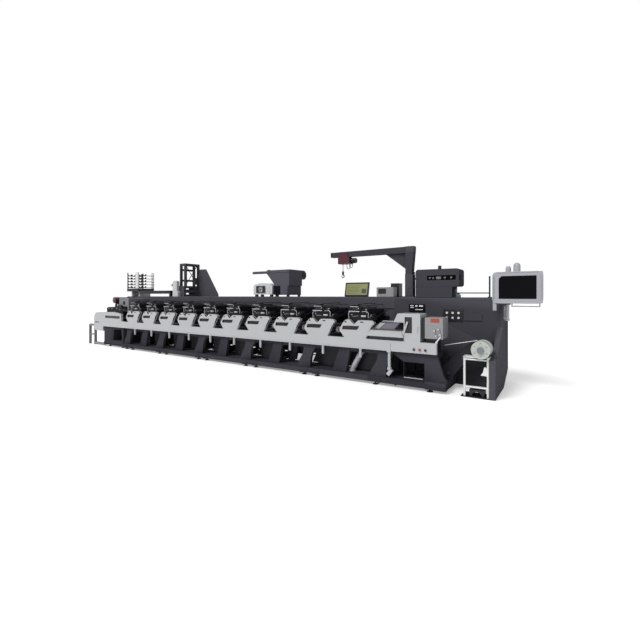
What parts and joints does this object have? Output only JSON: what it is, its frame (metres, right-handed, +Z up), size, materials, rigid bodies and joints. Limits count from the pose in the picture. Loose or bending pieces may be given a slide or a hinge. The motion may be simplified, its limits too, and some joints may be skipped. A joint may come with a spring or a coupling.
{
  "type": "inline label printing press",
  "caption": "Long inline label press: print stations on a splayed base, drive housing behind, hoist crane, unwind and rewind ends and a swivel monitor.",
  "frame": {"origin": "centre of the footprint box, on the floor", "axes": "+X along the line towards the rewind end, +Y from the operator side to the drive side, +Z up"},
  "size_m": [12.321, 1.562, 2.436],
  "materials": {
    "light_enamel": "satin powder coat",
    "rolls_steel": "ground and plated",
    "grey_plastic": "satin",
    "white_enamel": "satin",
    "core_board": "satin",
    "grey_enamel": "satin",
    "red_enamel": "satin",
    "black_enamel": "satin",
    "dark_enamel": "fine texture powder coat"
  },
  "bodies": {
    "press": {"base_frame_1": "dark_enamel", "base_frame_2": "dark_enamel", "base_frame_3": "dark_enamel", "base_frame_4": "dark_enamel", "base_frame_5": "dark_enamel", "left_base": "dark_enamel", "right_base": "dark_enamel", "drive_boxes": "black_enamel", "drive_housings": "dark_enamel", "left_housing": "dark_enamel", "end_wall": "dark_enamel", "wall_panels": "black_enamel", "apron_1": "light_enamel", "apron_2": "light_enamel", "apron_3": "light_enamel", "apron_4": "light_enamel", "apron_5": "light_enamel", "left_apron": "light_enamel", "right_apron": "light_enamel", "print_units_1": "rolls_steel", "print_units_2": "rolls_steel", "print_units_3": "rolls_steel", "print_units_4": "rolls_steel", "print_units_5": "rolls_steel", "unwind_unit": "rolls_steel", "unwind_roll": "red_enamel", "left_stand": "grey_enamel", "upper_cabinet": "dark_enamel", "crane_socket": "dark_enamel", "display": "black_enamel", "console": "light_enamel", "window_cab": "light_enamel", "control_boxes": "white_enamel", "roll_rack": "black_enamel", "guide_box": "white_enamel", "web_tower": "black_enamel", "dryer_hood": "dark_enamel", "blower_box": "white_enamel", "drain_pipe": "light_enamel", "lift_arm": "dark_enamel", "right_stand": "white_enamel", "monitor_post": "grey_plastic"},
    "jib": {"crane_jib": "dark_enamel"},
    "trolley": {"hoist": "red_enamel"},
    "rewind": {"rewind_disc": "core_board"},
    "screen": {"monitor": "grey_plastic"}
  },
  "joints": [
    {"name": "jib_swing", "type": "hinge", "parent": "press", "child": "jib", "pos_m": [3.9915, 0.309, 2], "axis": [0, 0, 1], "range_deg": [-45, 120]},
    {"name": "hoist_travel", "type": "slide", "parent": "jib", "child": "trolley", "axis": [1, 0, 0], "range_m": [-0.15, 0.62]},
    {"name": "rewind_spin", "type": "hinge", "parent": "press", "child": "rewind", "pos_m": [5.4135, -0.631, 0.716], "axis": [0, 1, 0], "continuous": true},
    {"name": "monitor_swivel", "type": "hinge", "parent": "press", "child": "screen", "pos_m": [5.6465, 0.259, 1.5], "axis": [0, 0, 1], "range_deg": [-15, 90]}
  ]
}
